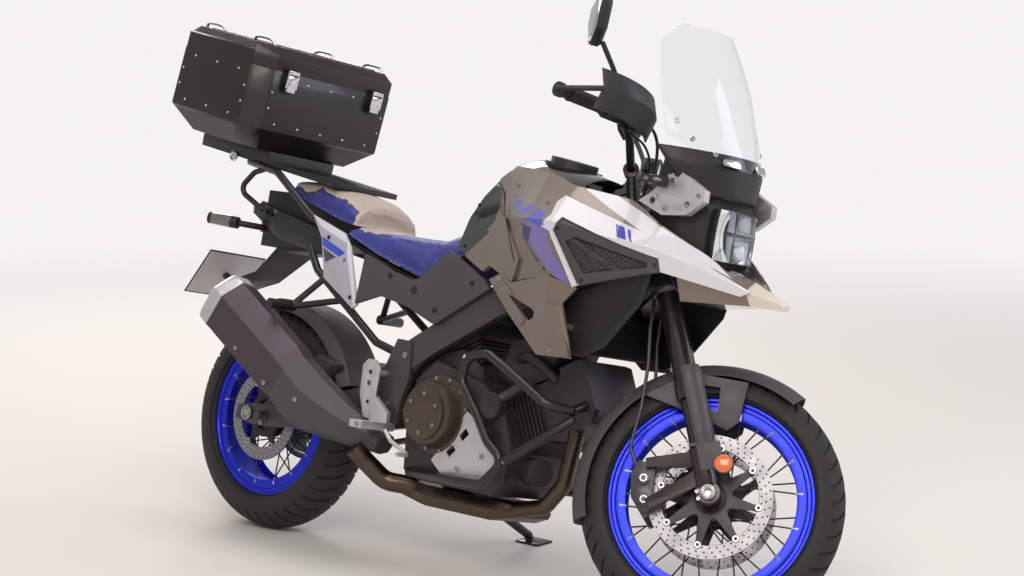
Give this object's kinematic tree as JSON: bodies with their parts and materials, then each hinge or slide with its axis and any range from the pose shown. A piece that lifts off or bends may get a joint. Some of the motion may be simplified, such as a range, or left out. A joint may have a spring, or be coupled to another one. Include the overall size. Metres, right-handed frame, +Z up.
{
  "type": "adventure motorcycle",
  "caption": "Adventure motorcycle with wire wheels, tall screen, crash bars and aluminium top case, leaning on its side stand.",
  "frame": {"origin": "floor point under the middle of the whole machine's box as it stands parked", "axes": "+X the way the rear wheel heads, +Y to the rider's left, +Z up; the machine leans towards +Y on its side stand, with the bars on their left stop"},
  "size_m": [2.2716, 0.8792, 1.5579],
  "materials": {
    "tyre": "matt black rubber",
    "rim_blue": "blue anodised look, satin",
    "hub_black": "satin black",
    "disc_steel": "ground brake steel",
    "sprocket_steel": "machined steel",
    "axle_steel": "bright steel",
    "fork_tube": "dark hard anodised",
    "fork_lower": "hard chromed inner tube with black shoe",
    "clamp": "black anodised forging",
    "caliper": "grey anodised",
    "grey_plastic": "grained dark grey",
    "bar_black": "black powder coat",
    "black_plastic": "grained black",
    "frame_grey": "dark grey powder coat",
    "engine_grey": "cast and painted",
    "cover_grey": "cast covers",
    "exhaust_steel": "stainless",
    "muffler_grey": "dark satin stainless",
    "silver": "cast and blasted",
    "gloss_plastic": "glossy black",
    "bronze_paint": "metallic bronze lacquer",
    "white_paint": "pearl white lacquer",
    "lens": "clear polycarbonate",
    "radiator_black": "black core",
    "screen": "clear acrylic",
    "seat_cover": "blue grained cover with grey top",
    "case_alu": "black powder coated sheet",
    "red_lens": "red lens"
  },
  "bodies": {
    "front_wheel": {"front_tyre": "tyre", "front_rim": "rim_blue", "front_hub": "hub_black", "front_discs": "disc_steel"},
    "rear_wheel": {"rear_tyre": "tyre", "rear_rim": "rim_blue", "rear_hub": "hub_black", "rear_disc": "disc_steel", "rear_sprocket": "sprocket_steel"},
    "steering": {"front_axle": "axle_steel", "fork_upper_tubes": "fork_tube", "fork_lowers": "fork_lower", "triple_clamps": "clamp", "front_calipers": "caliper", "fork_guards": "grey_plastic", "front_fender": "grey_plastic", "handlebar": "bar_black", "bar_controls": "black_plastic", "hand_guards": "black_plastic", "mirrors": "black_plastic"},
    "chassis": {"frame": "frame_grey", "subframe": "bar_black", "swingarm": "frame_grey", "rear_axle": "axle_steel", "rear_caliper": "caliper", "chain": "sprocket_steel", "engine": "engine_grey", "engine_covers": "cover_grey", "exhaust_pipes": "exhaust_steel", "muffler": "muffler_grey", "muffler_cap": "silver", "muffler_shield": "grey_plastic", "fuel_tank": "gloss_plastic", "filler_cap": "black_plastic", "tank_covers": "bronze_paint", "side_cowls": "white_paint", "cowl_inserts": "grey_plastic", "beak": "bronze_paint", "headlight_housing": "black_plastic", "headlight": "lens", "radiator": "radiator_black", "screen_brackets": "silver", "windscreen": "screen", "screen_surround": "black_plastic", "side_shrouds": "bronze_paint", "side_covers": "grey_plastic", "tail_panels": "white_paint", "rider_seat": "seat_cover", "pillion_seat": "seat_cover", "case_body": "case_alu", "rear_rack": "bar_black", "rear_mudguard": "black_plastic", "tail_light": "red_lens", "turn_signals": "black_plastic", "rear_hugger": "grey_plastic", "crash_bars": "bar_black", "engine_guards": "silver", "rider_pegs": "silver"},
    "case_lid": {"case_lid": "case_alu"},
    "side_stand": {"side_stand": "bar_black"}
  },
  "joints": [
    {"name": "steering", "type": "hinge", "parent": "chassis", "child": "steering", "pos_m": [0.5735, -0.05345, 0.7853], "axis": [-0.4249, 0.203, 0.8822], "range_deg": [-66, 0]},
    {"name": "front_wheel_spin", "type": "hinge", "parent": "steering", "child": "front_wheel", "pos_m": [0.84261, -0.1399, 0.30442], "axis": [-0.4942, 0.7644, -0.414], "continuous": true},
    {"name": "rear_wheel_spin", "type": "hinge", "parent": "chassis", "child": "rear_wheel", "pos_m": [-0.70606, -0.16397, 0.3147], "axis": [-0.0014, 0.9744, -0.2249], "continuous": true},
    {"name": "side_stand_fold", "type": "hinge", "parent": "chassis", "child": "side_stand", "pos_m": [-0.08885, -0.05673, 0.18851], "axis": [0.0047, 0.6732, 0.7395], "range_deg": [0, 95]},
    {"name": "case_lid_hinge", "type": "hinge", "parent": "chassis", "child": "case_lid", "pos_m": [-1.11839, 0.06737, 1.31939], "axis": [0.0014, -0.9744, 0.2249], "range_deg": [0, 85]}
  ]
}
